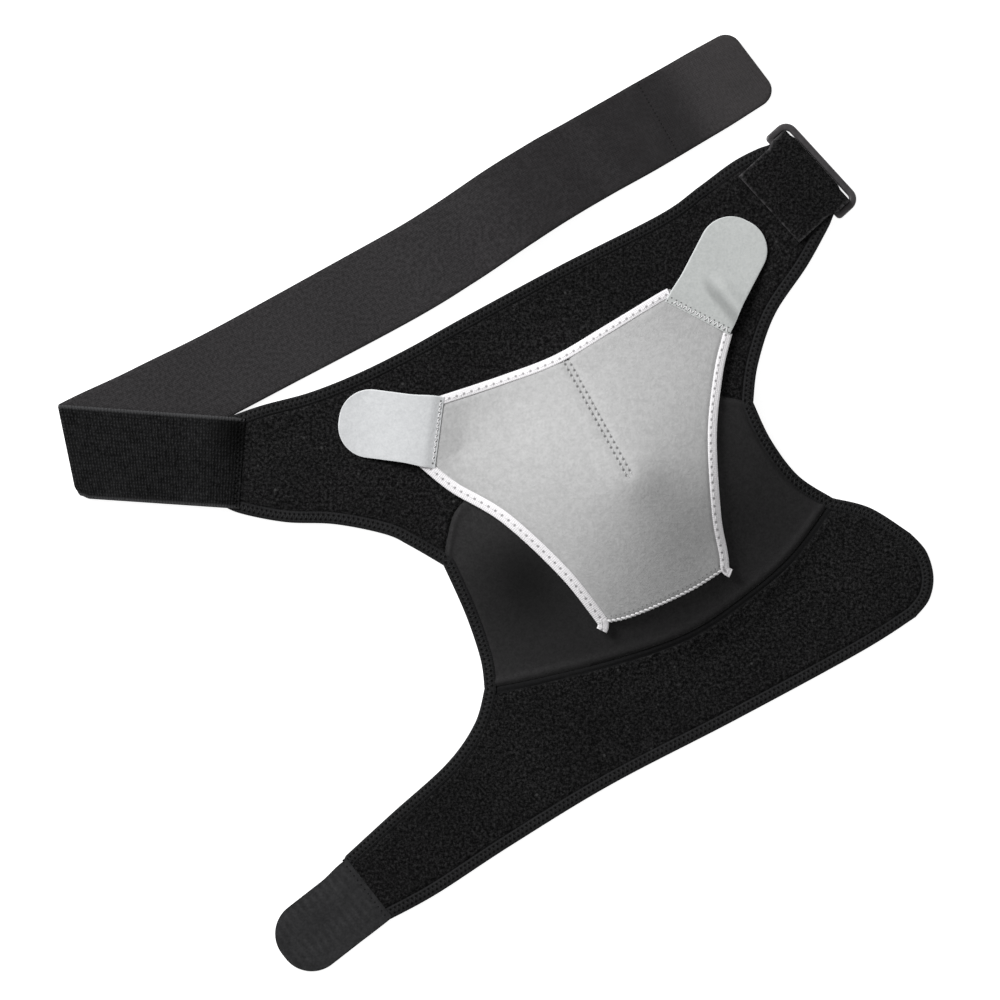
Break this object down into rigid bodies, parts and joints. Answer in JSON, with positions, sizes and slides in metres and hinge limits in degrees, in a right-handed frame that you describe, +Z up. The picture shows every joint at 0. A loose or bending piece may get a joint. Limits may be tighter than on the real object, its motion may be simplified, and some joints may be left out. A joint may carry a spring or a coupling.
{
  "type": "shoulder brace",
  "caption": "Soft neoprene shoulder brace lying flat: chest band, domed shoulder cap, arm band, elastic strap with keeper and ring, pressure pad and hook tabs.",
  "frame": {"origin": "on the surface that the brace lies on, under the middle of its bounding box", "axes": "+Z up from the surface, +Y from the arm band towards the free end of the strap, +X from the strap's fold towards the ring"},
  "size_m": [0.4866, 0.5216, 0.0387],
  "materials": {
    "loop_pile": "black brushed loop pile on neoprene",
    "smooth_neoprene": "smooth black knit on neoprene",
    "edge_tape": "black elastic binding with a two-row cover stitch",
    "elastic_web": "ribbed black elastic with a plain dark grey back",
    "strap_hook": "black hook tape",
    "keeper_strap": "black loop-pile elastic",
    "ring_plastic": "dark grey moulded plastic, soft sheen",
    "pad_neoprene": "light grey knit on neoprene",
    "pad_tape": "white binding with a cover stitch",
    "pad_tab": "pale grey hook tab, fabric side up",
    "arm_hook": "dark grey hook tab with soft ridges across"
  },
  "bodies": {
    "brace": {"chest_band": "loop_pile", "shoulder_cap": "smooth_neoprene", "arm_band": "loop_pile", "binding_top": "edge_tape", "binding_left": "edge_tape", "binding_right": "edge_tape", "elastic_strap": "elastic_web", "strap_hook_patch": "strap_hook", "strap_keeper": "keeper_strap", "pressure_pad": "pad_neoprene", "pad_binding_top": "pad_tape", "pad_binding_left": "pad_tape", "pad_binding_right": "pad_tape", "pad_tab_left": "pad_tab", "pad_tab_right": "pad_tab", "arm_tab": "arm_hook"},
    "ring": {"strap_ring": "ring_plastic"}
  },
  "joints": [
    {"name": "ring_swing", "type": "hinge", "parent": "brace", "child": "ring", "pos_m": [0.17147, 0.18115, 0.00361], "axis": [0.6756, -0.7373, 0], "range_deg": [0, 155]}
  ]
}
